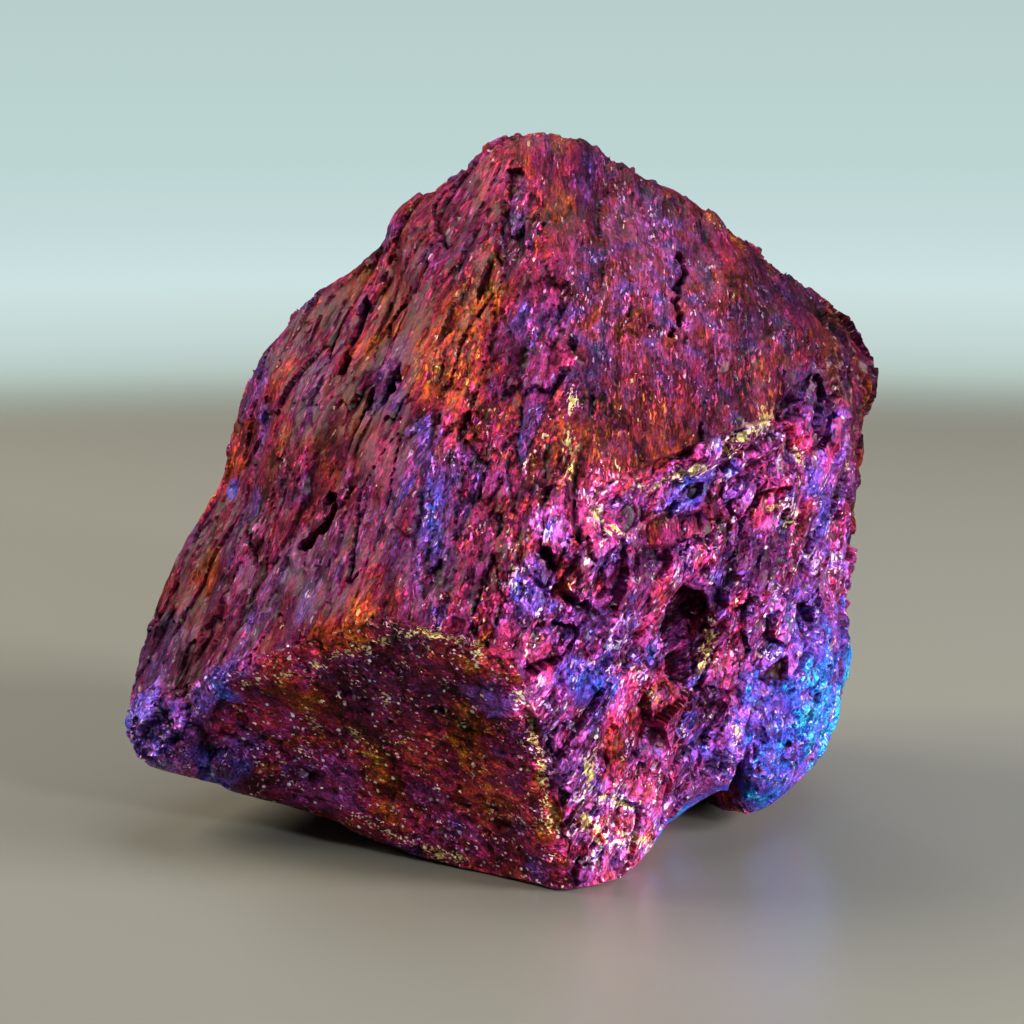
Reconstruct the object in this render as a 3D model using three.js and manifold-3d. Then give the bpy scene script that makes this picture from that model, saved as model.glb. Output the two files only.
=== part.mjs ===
// Peacock ore: one rough hand-sized chunk of tarnished chalcopyrite, broken from a vein.
// Millimetres, +Z up, origin on the resting face under the middle of the chunk.
// -Y is the side with the keel, where the fracture facets meet; +Y is the broken back.
import * as THREE from "three";
import { ConvexGeometry } from "three/addons/geometries/ConvexGeometry.js";
import { ConvexHull } from "three/addons/math/ConvexHull.js";
import { ImprovedNoise } from "three/addons/math/ImprovedNoise.js";
import { mergeVertices } from "three/addons/utils/BufferGeometryUtils.js";
import Module from "manifold-3d";

const wasm = await Module();
wasm.setup();

// ---- driving dimensions -------------------------------------------------
const HEART = [2, 3, 27]; // every point of the block's skin is seen straight from here
const SKIN_DETAIL = 21; // icosahedron subdivisions, which set the length of a skin edge
const SOFTENING = 3; // smoothing rounds that blunt the broken edges
const SOFTEN_IN = 0.5; // share of the way to its neighbours' middle that a point moves in a round
const SOFTEN_OUT = -0.52; // and back, so that the rounds don't shrink the block
const LUMP = { size: 11, height: 0.7 }; // broad swells of the broken faces
const CHIP = { size: 4.2, height: 0.45 }; // chips between them
const FIBRE_LENGTH = 3.2; // how much longer than wide the swells are along the mineral's fibres
const FIBRE_DIRECTION = [0.35, 0.42, 0.84]; // the fibres rise from the left toe towards the summit
const CUTTER_EDGE = 3; // length of a facet edge on a fracture scoop
const CUTTER_DETAIL_LEAST = 4; // icosahedron subdivisions of the smallest scoop
const FLOOR_SLAB = 200; // side of the block that trims the resting face flat

// ---- the corners of the block, one list for each broken edge or face --------
const corners = {
  // the ridge against the sky, from the left shoulder over the summit to the right knob
  skyline: [
    [-26.2, 5, 39.2], [-24.4, 6, 43.6], [-21.8, 6, 47.4], [-19, 6, 50.2], [-15.4, 5, 52.4], [-11.2, 4.5, 55.8],
    [-10.8, 4, 60], [-8.2, 4, 61.4], [-3.9, 3, 62.4], [-2.6, 3, 64.6], [0, 4, 66.4], [3.7, 4, 67.1], [7.2, 4, 66.4],
    [10, 5, 65.1], [15.1, 6, 62.4], [19.6, 6, 60.2], [23.8, 7, 56.5], [29.3, 8, 51.6], [34, 8, 48.4],
  ],
  rightKnob: [
    [36.2, 8, 45.4], [37.3, 8, 41.6], [36.4, 7, 37], [34, -1, 41.5], [32, -3, 46], [29.8, -5.5, 38],
  ],
  rightEdge: [
    [35.2, 8, 35], [36.8, 8, 32.4], [36.6, 8, 30], [35.8, 7, 25.6], [34.6, 6, 19.8], [34.6, 4, 13.4], [33.4, 2, 8],
    [31, -2, 4.4], [28, -6, 2.4], [25.4, -8.6, 1.8], [22.6, -9.6, 3.2],
  ],
  rightNotch: [
    [20.3, -9.6, 5], [18, -11.6, 5.2], [15.5, -15, 4], [13.6, -17.4, 1.8],
  ],
  leftEdge: [
    [-26.6, 4, 35.4], [-27.6, 3, 32.2], [-30.2, 2, 28.6], [-33, 0, 24.2], [-35, -2, 19.7], [-36, -4, 16.2],
    [-35.9, -6, 12.8],
  ],
  leftToe: [
    [-36.6, -8, 9.6], [-34.2, -8.4, 6], [-29.8, -9.4, 5.6], [-31.5, -12.8, 12], [-25.5, -11.4, 5],
  ],
  // lower rim of the spearhead facet, then its arched upper rim
  spearheadFoot: [
    [-20.4, -12.4, 3.8], [-17.2, -11.8, 4], [-14.7, -13.4, 2.4], [-6.6, -17.4, 0.9], [-0.5, -20.4, -0.4],
  ],
  spearheadArch: [
    [-26.4, -14, 16.2], [-17.9, -19.5, 21], [-13.2, -22, 23.2], [-6.9, -24.8, 25.1], [-2.6, -25.8, 24.2],
    [0.4, -26.2, 21.3], [1.9, -26, 17.7], [3.3, -25, 12.3], [4.2, -24, 6.4],
  ],
  // proud of the facet, so that the scoop cuts it clean
  spearheadBulge: [
    [-10, -23.5, 13], [-18, -19.5, 12], [-3, -25.8, 11], [-10, -20, 5.5],
  ],
  keel: [
    [5, -22.4, -1], [9.5, -21.4, -1], [12, -19, -1], [1.7, -26.6, 21], [1.9, -26.2, 26], [3.9, -24.2, 31],
  ],
  // the golden ledge under the upper right face
  ledge: [
    [7.8, -21.2, 36.4], [12.2, -20.6, 35.5], [17.7, -17.4, 37.6], [23.6, -12.6, 39.5], [27, -8, 43],
  ],
  upperRightFace: [
    [4.5, -9.6, 51.6], [6.2, -15.4, 43.6], [4.1, -4.2, 58.5], [15, -8.5, 50.5], [23, -4, 50.5],
  ],
  upperLeftFace: [
    [-6, -9, 48], [-9, -17, 35.5], [-18, -6, 40], [-21, -9.5, 29.5], [-28, -7, 22],
  ],
  // the glittering right face between the keel and the blue lobe
  rightFace: [
    [10.5, -22, 30], [17.5, -18, 30.5], [25, -11.5, 32], [9, -22.2, 20], [9.2, -21.9, 10], [17, -16.2, 20],
    [18, -14.2, 11], [26, -9.5, 22], [31.8, -1.5, 27],
  ],
  blueLobe: [
    [31.6, -5.4, 18], [29.6, -8.8, 14.4], [31.4, -5.2, 9.6], [27.6, -10.8, 9.6], [25.6, -10.8, 5], [24.2, -11.6, 12],
  ],
  backCrest: [
    [-14, 14, 51], [-3, 13, 59.5], [5, 15, 61], [17, 17, 54], [28.5, 17.5, 45],
  ],
  backFace: [
    [-27, 17, 35], [-30, 11, 22], [-22, 25, 27], [-9, 27, 41], [3, 29, 44], [16, 27, 37], [30, 20, 31],
    [33.5, 15, 20], [-26, 19, 13], [-12, 28, 18], [4, 31.5, 24], [20, 27.5, 18], [30, 17, 9], [10, 28, 8],
    [-8, 26, 6],
  ],
  underside: [
    [-15, 20, -1], [-2, 25, -1], [12, 25, -1], [21, 17, -1], [22, 4, -0.5], [15, -8, -0.3], [-16, 3, -1],
    [-13, -8, 0.4], [-27, 4, 5.2], [-31, 3, 10], [28, 4, 2.4],
  ],
};

// ---- helpers ----------------------------------------------------------------
const noise = new ImprovedNoise();

function solidOf(geometry) {
  const bare = new THREE.BufferGeometry().setAttribute("position", geometry.getAttribute("position"));
  if (geometry.index) bare.setIndex(geometry.index);
  const merged = mergeVertices(bare, 1e-4);
  return new wasm.Manifold(new wasm.Mesh({
    numProp: 3,
    vertProperties: merged.attributes.position.array,
    triVerts: new Uint32Array(merged.index.array),
  }));
}

function geometryOf(solid) {
  const mesh = solid.getMesh();
  const geometry = new THREE.BufferGeometry()
    .setAttribute("position", new THREE.BufferAttribute(new Float32Array(mesh.vertProperties), 3))
    .setIndex(new THREE.BufferAttribute(new Uint32Array(mesh.triVerts), 1));
  geometry.computeVertexNormals();
  return geometry;
}

// ---- the block --------------------------------------------------------------
// The corners, seen from the heart, are joined to their nearest neighbours: the convex hull of
// their directions gives the triangles, and each corner then goes back out to its own distance.
function facetsOf(heart) {
  const points = Object.values(corners).flat().map((corner) => new THREE.Vector3(...corner));
  const outOf = new Map();
  const directions = points.map((point) => {
    const direction = point.clone().sub(heart).normalize();
    outOf.set(direction, point);
    return direction;
  });
  const hull = new ConvexHull().setFromPoints(directions);
  return hull.faces.flatMap((face) => {
    const loop = [];
    for (let edge = face.edge; loop.length === 0 || edge !== face.edge; edge = edge.next) {
      loop.push(outOf.get(edge.head().point));
    }
    return loop.slice(2).map((last, i) => new THREE.Triangle(loop[0], loop[i + 1], last));
  });
}

// Where the ray from the heart leaves the block: the facet whose three side planes hold it.
function skinPoint(heart, direction, facets) {
  const ray = new THREE.Ray(heart, direction);
  const hit = new THREE.Vector3();
  for (const facet of facets) {
    if (ray.intersectTriangle(facet.a, facet.b, facet.c, false, hit)) return hit;
  }
  return ray.at(facets[0].a.distanceTo(heart), hit);
}

function swell(point, { size, height }) {
  const along = new THREE.Vector3(...FIBRE_DIRECTION).normalize();
  const run = point.dot(along);
  const stretched = point.clone().addScaledVector(along, run / FIBRE_LENGTH - run).divideScalar(size);
  return height * noise.noise(stretched.x, stretched.y, stretched.z);
}

function neighboursOf(geometry) {
  const found = Array.from({ length: geometry.attributes.position.count }, () => new Set());
  const index = geometry.index.array;
  for (let i = 0; i < index.length; i += 3) {
    for (const [a, b] of [[0, 1], [1, 2], [2, 0]]) {
      found[index[i + a]].add(index[i + b]);
      found[index[i + b]].add(index[i + a]);
    }
  }
  return found;
}

function soften(geometry, rounds) {
  const position = geometry.attributes.position;
  const near = neighboursOf(geometry);
  const at = (i) => new THREE.Vector3().fromBufferAttribute(position, i);
  for (let step = 0; step < 2 * rounds; step++) {
    const share = step % 2 ? SOFTEN_OUT : SOFTEN_IN;
    const moved = near.map((others, i) => {
      const middle = new THREE.Vector3();
      for (const other of others) middle.add(at(other));
      return at(i).lerp(middle.divideScalar(others.size), share);
    });
    moved.forEach((point, i) => position.setXYZ(i, point.x, point.y, point.z));
  }
}

function block() {
  const heart = new THREE.Vector3(...HEART);
  const facets = facetsOf(heart);
  const sphere = new THREE.IcosahedronGeometry(1, SKIN_DETAIL);
  sphere.deleteAttribute("normal");
  sphere.deleteAttribute("uv");
  const skin = mergeVertices(sphere, 1e-4);
  const position = skin.attributes.position;
  for (let i = 0; i < position.count; i++) {
    const direction = new THREE.Vector3().fromBufferAttribute(position, i).normalize();
    const point = skinPoint(heart, direction, facets);
    position.setXYZ(i, point.x, point.y, point.z);
  }
  soften(skin, SOFTENING);
  return solidOf(skin);
}

// ---- the grain ----------------------------------------------------------------
// Every broken face swells and dips a little along the fibres, outward from the heart.
function roughened(solid) {
  const heart = new THREE.Vector3(...HEART);
  const skin = geometryOf(solid);
  const position = skin.attributes.position;
  for (let i = 0; i < position.count; i++) {
    const point = new THREE.Vector3().fromBufferAttribute(position, i);
    const outward = point.clone().sub(heart).normalize();
    point.addScaledVector(outward, swell(point, LUMP) + swell(point, CHIP));
    position.setXYZ(i, point.x, point.y, point.z);
  }
  return solidOf(skin);
}

// ---- the fractures ------------------------------------------------------------
// Shallow shell-shaped scoops, each cut by a large sphere that passes through three points of
// its rim. The rim runs anticlockwise as seen from outside the chunk.
const scoops = {
  spearhead: { rim: [[-6.9, -24.8, 25.1], [-26.4, -14, 16.2], [5, -22.6, 0]], radius: 95 },
  backUpper: { rim: [[3, 9, 62], [24, 22, 43], [-20, 20, 40]], radius: 130 },
  backLeft: { rim: [[-18, 20, 42], [-8, 28.5, 16], [-31, 6, 18]], radius: 140 },
  backRight: { rim: [[21, 22.5, 42], [32, 15.5, 18], [9, 29, 22]], radius: 75 },
  backLow: { rim: [[22, 25, 17], [6, 26.5, 0], [-13, 27, 19]], radius: 90 },
  rightSide: { rim: [[34.4, 12, 44], [34, 10.5, 10], [26, 21.5, 28]], radius: 80 },
};

// Angular hollows where splinters have gone, each the convex shape with these corners.
const splinters = {
  underLedge: [
    [6.8, -25, 36.2], [12.4, -24, 35], [18, -20, 36.8], [24, -15, 39], [29, -11, 42.6], [8.6, -19.4, 34.8],
    [12.6, -17.6, 33.2], [18.4, -14, 35], [24.4, -9.6, 37], [9, -24.6, 28], [18.6, -20, 25.4], [27, -12.5, 30],
  ],
  crystalPit: [
    [17.2, -21, 31], [12, -21, 22.5], [17.6, -19, 13.8], [22.8, -16, 21.6], [15.4, -13.4, 24.5], [17.6, -12, 19.4],
  ],
  knobHollow: [
    [27.6, -9.5, 40.6], [31, -8, 35], [37.4, -6, 41.6], [33, -7.5, 45.4], [31, -1.4, 40.2],
  ],
  lobeGroove: [
    [22.6, -15, 13.6], [20.2, -15, 1], [24.6, -14, 1], [22.4, -8.4, 10], [21.6, -6, 1],
  ],
  notch: [
    [13.4, -20, -1], [27, -15, 0.4], [20.4, -18, 7], [21, -6, 4.8], [19, 4, -1], [13.4, -9, -1],
  ],
  toeChip: [
    [-31, -16, 3], [-24, -16, 3.4], [-27.5, -16, 9], [-27.8, -9, 6.6], [-27, -6, 3],
  ],
};

function scoop({ rim, radius }) {
  const [a, b, c] = rim.map((point) => new THREE.Vector3(...point));
  const outward = new THREE.Triangle(a, b, c).getNormal(new THREE.Vector3());
  const ab = b.clone().sub(a);
  const ac = c.clone().sub(a);
  const across = ab.clone().cross(ac);
  const toCentre = across.clone().cross(ab).multiplyScalar(ac.lengthSq())
    .add(ac.clone().cross(across).multiplyScalar(ab.lengthSq()))
    .divideScalar(2 * across.lengthSq());
  const standOff = Math.sqrt(radius ** 2 - toCentre.lengthSq());
  const centre = a.clone().add(toCentre).addScaledVector(outward, standOff);
  const detail = Math.max(CUTTER_DETAIL_LEAST, Math.round(radius / CUTTER_EDGE));
  const sphere = new THREE.IcosahedronGeometry(radius, detail);
  sphere.deleteAttribute("normal");
  sphere.deleteAttribute("uv");
  sphere.translate(centre.x, centre.y, centre.z);
  return solidOf(sphere);
}

function splinter(corner) {
  return solidOf(new ConvexGeometry(corner.map((point) => new THREE.Vector3(...point))));
}

// ---- the flat face that it rests on ---------------------------------------------
function floorSlab() {
  const slab = new THREE.BoxGeometry(FLOOR_SLAB, FLOOR_SLAB, FLOOR_SLAB);
  slab.translate(0, 0, -FLOOR_SLAB / 2);
  return solidOf(slab);
}

const cuts = [...Object.values(scoops).map(scoop), ...Object.values(splinters).map(splinter)];
const broken = cuts.reduce((solid, cut) => solid.subtract(cut), block());
const chunk = roughened(broken).subtract(floorSlab());

const ore = new THREE.Mesh(
  geometryOf(chunk),
  new THREE.MeshStandardMaterial({ color: 0x7a1f5c, roughness: 0.38, metalness: 0.9 }),
);
ore.name = "peacock_ore";

const group = new THREE.Group();
group.add(ore);
export default group;
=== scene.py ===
import itertools
import math
from typing import NamedTuple

import bpy
import numpy as np
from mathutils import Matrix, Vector


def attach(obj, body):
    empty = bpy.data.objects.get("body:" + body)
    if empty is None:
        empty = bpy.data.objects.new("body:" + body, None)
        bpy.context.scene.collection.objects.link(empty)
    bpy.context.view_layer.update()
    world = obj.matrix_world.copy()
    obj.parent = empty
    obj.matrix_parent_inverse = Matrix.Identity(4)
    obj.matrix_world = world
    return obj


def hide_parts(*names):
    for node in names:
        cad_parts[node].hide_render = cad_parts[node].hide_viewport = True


# Peacock ore: a rough chunk of chalcopyrite whose broken faces carry a film of tarnish. The film's
# thickness sets its colour, from gold over red, magenta and violet to blue, so one number per spot,
# called film here, drives the paint. Lengths on the stone are in millimetres, in the part's frame.

MM = 0.001  # metres in a millimetre

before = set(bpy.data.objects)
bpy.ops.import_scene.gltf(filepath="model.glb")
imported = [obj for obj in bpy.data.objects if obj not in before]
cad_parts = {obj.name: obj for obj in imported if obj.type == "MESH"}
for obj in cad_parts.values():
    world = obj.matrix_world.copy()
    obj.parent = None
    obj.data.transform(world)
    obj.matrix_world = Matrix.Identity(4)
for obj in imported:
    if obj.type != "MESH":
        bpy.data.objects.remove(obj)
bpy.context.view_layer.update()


# ---- the sides of the stone -----------------------------------------------------------
class Side(NamedTuple):
    """One side of the stone: where it lies, which way its grain runs and how it broke."""
    spots: list  # points that belong to it
    faces: tuple  # the way it looks
    fibre: tuple  # the way its grain runs
    stretch: float  # how many times longer than wide its grains are
    slab: float  # height of the broad broken steps, mm
    flake: float  # height of the small steps on them, mm
    nodule: float  # height of rounded lumps, mm
    thread: float  # height of the fine ridges along the grain, mm
    film: float  # thickness of the tarnish, 0 gold to 1 cyan
    vary: float  # how much that changes over the side
    dust: float  # how dull and grey its skin is
    shade: float  # how bright it is painted: its own tone with painted light and shade
    glitter: float  # how bare and bright its crystal faces are, and how strong its painted glints are
    fine: float = 1.0  # how much finer than usual its grains are
    bead_glints: float = 0.0  # how many round pale bead highlights, painted on small bumps, sit on it


SIDES = {
    "upper_left": Side(
        spots=[(-7, -5, 53), (-19, -3, 42), (-11, -12, 40), (-28, -3, 27), (-21, -9, 30),
               (-14, -18, 27), (-9, -19, 31)],
        faces=(-0.62, -0.6, 0.5), fibre=(0.45, 0.41, 0.79), stretch=4.0,
        slab=0.32, flake=0.2, nodule=0.0, thread=0.1,
        film=0.42, vary=0.17, dust=0.14, shade=0.33, glitter=0.2),
    "keel": Side(
        spots=[(0, -9, 50), (2, -16, 42), (-3, -22, 31), (2, -24, 31)],
        faces=(-0.15, -0.84, 0.52), fibre=(0.25, 0.6, 0.76), stretch=3.0,
        slab=0.35, flake=0.26, nodule=0.0, thread=0.1,
        film=0.46, vary=0.18, dust=0.25, shade=0.45, glitter=0.7, fine=1.2),
    "upper_right": Side(
        spots=[(9, -9, 52), (14, -2, 56), (24, -8, 45), (12, -16, 41), (17, -5, 53), (28, -3, 47),
               (24, -11.3, 41.6), (20, -13.8, 39.6), (16, -15.2, 38), (12, -17, 37.4), (8, -19, 38)],
        faces=(0.3, -0.7, 0.64), fibre=(0.03, 0.72, 0.70), stretch=4.5,
        slab=0.26, flake=0.14, nodule=0.0, thread=0.06,
        film=0.38, vary=0.16, dust=0.5, shade=0.33, glitter=0.5, fine=1.4),
    "knob": Side(
        spots=[(34, 4, 45), (30, -5, 42), (33, 3, 38), (32, 0, 46)],
        faces=(0.85, -0.45, 0.2), fibre=(-0.2, 0.3, 0.93), stretch=1.6,
        slab=0.5, flake=0.3, nodule=0.15, thread=0.08,
        film=0.34, vary=0.2, dust=0.6, shade=0.15, glitter=0.4),
    "right": Side(
        spots=[(7, -24, 20), (12, -20, 23), (17, -13, 23), (25, -11, 25), (20, -12, 32),
               (9, -22, 8), (5, -23, 4), (28, -8, 36), (33, 0, 23), (34, 2, 32), (33, -1, 35),
               (12, -20, 32), (8, -22, 34), (14, -19, 34)],
        faces=(0.62, -0.78, 0.0), fibre=(0.5, 0.2, 0.84), stretch=2.6,
        slab=0.95, flake=0.36, nodule=0.12, thread=0.1,
        film=0.51, vary=0.18, dust=0.3, shade=1.1, glitter=0.8, bead_glints=0.2),
    "lobe": Side(
        spots=[(30, -7, 14), (28, -8, 7), (27, -10, 14), (32, -3, 10)],
        faces=(0.75, -0.65, -0.1), fibre=(0.1, 0.3, 0.95), stretch=1.2,
        slab=0.3, flake=0.25, nodule=0.8, thread=0.06,
        film=0.77, vary=0.21, dust=0.0, shade=1.1, glitter=0.5),
    "spearhead": Side(
        spots=[(-9, -20, 18), (-5, -19, 10), (-17, -14, 8), (2, -25, 15), (-3, -18, 3), (-24, -14, 15)],
        faces=(-0.36, -0.9, -0.24), fibre=(0.93, -0.2, -0.3), stretch=1.6,
        slab=0.16, flake=0.2, nodule=0.0, thread=0.08,
        film=0.34, vary=0.18, dust=0.1, shade=0.54, glitter=0.6, fine=1.2, bead_glints=1.0),
    "toe": Side(
        spots=[(-31, -11, 10), (-29, -13, 14), (-27, -11, 7), (-34, -5, 17), (-35, -7, 12)],
        faces=(-0.4, -0.9, -0.1), fibre=(0.5, 0.3, 0.8), stretch=1.4,
        slab=0.5, flake=0.35, nodule=0.4, thread=0.06,
        film=0.68, vary=0.12, dust=0.0, shade=0.85, glitter=0.9),
    "back_upper": Side(
        spots=[(0, 18, 52), (-14, 14, 48), (18, 18, 48), (8, 10, 62)],
        faces=(0.0, 0.75, 0.66), fibre=(0.3, 0.6, -0.74), stretch=3.5,
        slab=0.4, flake=0.18, nodule=0.0, thread=0.1,
        film=0.42, vary=0.15, dust=0.5, shade=0.6, glitter=0.3),
    "back_left": Side(
        spots=[(-27, 15, 30), (-28, 10, 18), (-18, 24, 25), (-24, 17, 10)],
        faces=(-0.65, 0.75, 0.1), fibre=(0.4, 0.3, 0.86), stretch=2.2,
        slab=0.65, flake=0.4, nodule=0.1, thread=0.1,
        film=0.52, vary=0.17, dust=0.2, shade=0.9, glitter=0.7),
    "back_right": Side(
        spots=[(30, 18, 30), (32, 14, 18), (22, 24, 22), (28, 17, 8), (28, 16, 42)],
        faces=(0.7, 0.7, 0.1), fibre=(-0.3, 0.3, 0.9), stretch=2.0,
        slab=0.65, flake=0.42, nodule=0.2, thread=0.1,
        film=0.56, vary=0.18, dust=0.1, shade=0.9, glitter=0.9),
    "back_low": Side(
        spots=[(2, 26, 20), (-8, 25, 8), (12, 25, 9), (4, 27, 34)],
        faces=(0.05, 0.98, 0.0), fibre=(0.8, 0.1, 0.55), stretch=1.8,
        slab=0.45, flake=0.32, nodule=0.1, thread=0.1,
        film=0.4, vary=0.17, dust=0.35, shade=0.75, glitter=0.5),
    "underside": Side(
        spots=[(0, 5, 0), (-18, 3, 3), (15, 10, 0), (5, -14, 0)],
        faces=(0.0, 0.0, -1.0), fibre=(0.8, 0.5, 0.0), stretch=1.5,
        slab=0.3, flake=0.25, nodule=0.0, thread=0.08,
        film=0.4, vary=0.2, dust=0.4, shade=0.7, glitter=0.3),
}


# Spots with a colour of their own, and spots of painted light and shade. Each gives its middle, its
# radius and its film, then how fully it covers what is around it, and its dust and shade. The shade is
# the stone's own tone, darkened by painted shadow in some spots and raised by painted light in others.
PATCHES = [
    # upper left face with painted shade over its top, and dark spots of painted shadow where it
    # meets the spearhead and the toe
    ((-29, -3, 27), 6.0, 0.43, 0.7, 0.1, 0.16),
    ((-17.5, 3, 48), 4.8, 0.4, 0.85, 0.0, 0.17),
    ((-17, -14.5, 22), 4.2, 0.38, 0.7, 0.3, 0.45),
    ((-5, -24.2, 20.5), 3.2, 0.42, 0.8, 0.0, 0.26),
    ((-29.5, -10, 17), 3.2, 0.4, 0.9, 0.1, 0.08),
    ((-21.5, -12, 4.5), 4.0, 0.36, 0.9, 0.0, 0.12),
    ((-6, -3, 56), 7.0, 0.42, 0.6, 0.3, 0.27),
    ((-5, -10, 47), 6.0, 0.2, 0.85, 0.1, 0.4),
    ((-2, -8, 51), 3.5, 0.18, 0.8, 0.1, 0.42),
    ((-21, 1, 43), 2.5, 0.22, 0.8, 0.2, 0.4),
    ((-28, -4, 25), 2.6, 0.16, 0.8, 0.1, 0.4),
    ((-32, -3, 21), 3.5, 0.3, 0.8, 0.1, 0.26),
    ((-27, -9, 21), 3.0, 0.34, 0.7, 0.2, 0.28),
    ((-15, -20, 23), 2.2, 0.18, 0.8, 0.1, 0.6),
    ((-12, -21, 25), 2.2, 0.16, 0.8, 0.1, 0.6),
    ((-26, 1, 32), 1.6, 0.94, 0.7, 0.3, 0.6),
    ((-10, -7, 46), 3.0, 0.6, 0.6, 0.6, 0.4),
    ((-10, -10, 43), 2.4, 0.66, 0.7, 0.2, 0.35),
    ((-19, -3, 42), 3.0, 0.64, 0.6, 0.5, 0.35),
    ((-18, -14, 28), 4.0, 0.52, 0.7, 0.6, 0.4),
    ((-21, -9, 30), 4.0, 0.36, 0.6, 0.1, 0.34),
    ((-33, -5, 18), 5.0, 0.6, 0.7, 0.3, 0.2),
    ((-25, -14, 16), 1.4, 0.9, 0.8, 0.0, 0.9),
    # the ridge
    ((4.5, -10.5, 49.8), 1.8, 0.52, 0.7, 0.2, 0.6),
    ((4, -23, 33), 2.4, 0.62, 0.7, 0.2, 1.6),
    ((3, -25, 28.5), 2.6, 0.7, 0.8, 0.4, 1.5),
    ((3.5, -26, 22.5), 2.6, 0.44, 0.8, 0.8, 2.4),
    ((3.2, -25.5, 18.6), 3.0, 0.46, 0.8, 0.7, 2.4),
    ((6.5, -23.5, 12.5), 3.4, 0.6, 0.75, 0.5, 0.9),
    # upper right face and knob
    ((14.5, -7.5, 51), 8.0, 0.6, 0.8, 1.0, 0.72),
    ((14, -12.5, 45.5), 4.0, 0.46, 0.7, 0.8, 0.4),
    ((7.4, -7.6, 54), 3.6, 0.52, 0.7, 0.8, 0.6),
    ((3, -8, 54), 2.6, 0.4, 0.7, 0.3, 0.26),
    ((9.5, -9.8, 49.8), 4.6, 0.74, 0.75, 0.9, 0.72),
    ((14, -2, 56), 7.0, 0.62, 0.6, 0.7, 0.76),
    ((23, -9, 44), 4.0, 0.24, 0.7, 0.5, 0.4),
    ((12, -16, 41), 6.0, 0.22, 0.75, 0.5, 0.25),
    ((6, -18, 39.5), 3.6, 0.2, 0.75, 0.3, 0.32),
    ((31, -3, 46), 5.0, 0.2, 0.75, 0.6, 0.25),
    ((34, 1, 44.5), 3.4, 0.52, 0.7, 0.9, 0.3),
    ((29, -5.5, 42), 4.0, 0.62, 0.8, 0.0, 0.3),
    # right face, down to the foot, whose brightest spots are painted light
    ((16.2, -15, 22.4), 4.2, 0.44, 0.85, 0.0, 0.75),
    ((7, -24, 20), 2.4, 0.84, 0.85, 0.0, 1.0),
    ((10, -22, 19), 1.6, 0.9, 0.7, 0.0, 1.1),
    ((14, -18, 17), 2.6, 0.26, 0.8, 0.7, 0.9),
    ((20, -13, 31), 3.0, 0.5, 0.7, 0.0, 0.4),
    ((9, -20.5, 34), 3.6, 0.48, 0.75, 0.4, 1.8),
    ((20, -13.5, 10), 3.6, 0.6, 0.8, 0.2, 1.2),
    ((15, -16.8, 10.5), 3.2, 0.44, 0.8, 0.6, 1.0),
    ((11, -20, 5), 6.0, 0.6, 0.8, 0.95, 2.5),
    ((28, -8, 30.5), 3.2, 0.36, 0.8, 0.5, 1.3),
    ((23.5, -12.3, 28.5), 4.2, 0.54, 0.85, 0.3, 0.36),
    ((24.5, -11, 38), 4.0, 0.46, 0.7, 0.3, 0.55),
    ((15, -16.2, 30), 3.4, 0.56, 0.7, 0.5, 0.85),
    ((34, 0, 34), 5.0, 0.62, 0.8, 0.5, 0.65),
    ((7, -23.7, 25.5), 3.6, 0.64, 0.8, 0.4, 1.15),
    # the blue lobe and the violet above it
    ((31, -7, 14), 4.0, 0.95, 0.7, 0.0, 1.25),
    ((28.4, -9.4, 12), 3.2, 0.93, 0.75, 0.0, 1.25),
    ((26.5, -9.5, 7), 3.4, 0.72, 0.8, 0.0, 1.1),
    ((17.5, -13.5, 6), 3.6, 0.54, 0.9, 0.4, 0.8),
    ((25.5, -11, 13), 3.0, 0.66, 0.7, 0.0, 0.9),
    ((28, -7, 22), 5.0, 0.66, 0.8, 0.0, 1.12),
    ((28, -7, 4), 2.4, 0.62, 0.6, 0.0, 0.7),
    # the violet tip of the toe
    ((-33, -9, 12), 2.6, 0.68, 0.8, 0.0, 1.6),
    # spearhead face
    ((-17, -14, 7), 5.0, 0.56, 0.7, 0.0, 0.7),
    ((-10, -19, 18), 6.5, 0.48, 0.75, 0.2, 0.24),
    ((-8, -20, 12), 4.0, 0.2, 0.6, 0.0, 0.9),
    ((-2, -22, 8), 4.0, 0.24, 0.6, 0.0, 0.7),
    ((-1, -25, 19), 3.0, 0.74, 0.7, 0.0, 0.6),
]

# Lines where the film has worn to pale gold grains: corner points and width.
VEINS = [
    ([(11.5, -17.8, 36.2), (15.5, -15.6, 37.2), (19.5, -14.2, 38.6), (22, -12.8, 39.8),
      (24, -11.2, 41.2), (25.5, -9.5, 42.5)], 1.1),
    ([(6.5, -14.8, 44), (6, -17.2, 41), (6.8, -19.2, 38.7), (5.2, -20.5, 36.7)], 0.5),
    ([(-24, -14.7, 16.6), (-18, -17.6, 19), (-13, -20.5, 22), (-7, -24.7, 24.7), (-3.5, -25.5, 24.2),
      (0, -26.4, 22.3), (2, -26, 19), (3.4, -24.8, 13), (4.5, -23.9, 6)], 0.5),
    ([(-13, -14.5, 4), (-8, -16, 2), (-4, -18, 1)], 0.7),
    ([(19, -14, 30), (19.6, -13.7, 26), (19, -13.8, 20), (17, -15.5, 16.5)], 0.8),
    ([(24.5, -11.5, 33.5), (27, -8.5, 30.0)], 1.1),
    ([(8.5, -21.3, 34), (11, -19.6, 31.5)], 0.9),
    ([(33.5, -1, 35.5), (34.5, 0, 32)], 0.7),
    ([(8, -23, 13), (7, -23.5, 9)], 0.9),
    ([(6.5, -23.5, 8), (9, -21.5, 5), (13, -18.5, 3.5)], 0.8),
    ([(9, -21.8, 9), (12, -19.5, 7)], 0.6),
    ([(32.0, -3.6, 11), (32.0, -3.8, 9.8)], 0.8),
    ([(21.6, -13, 12.4), (21.6, -13, 11.4)], 0.7),
    ([(27.3, -8, 37), (28, -7, 35.8)], 0.8),
]

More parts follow.
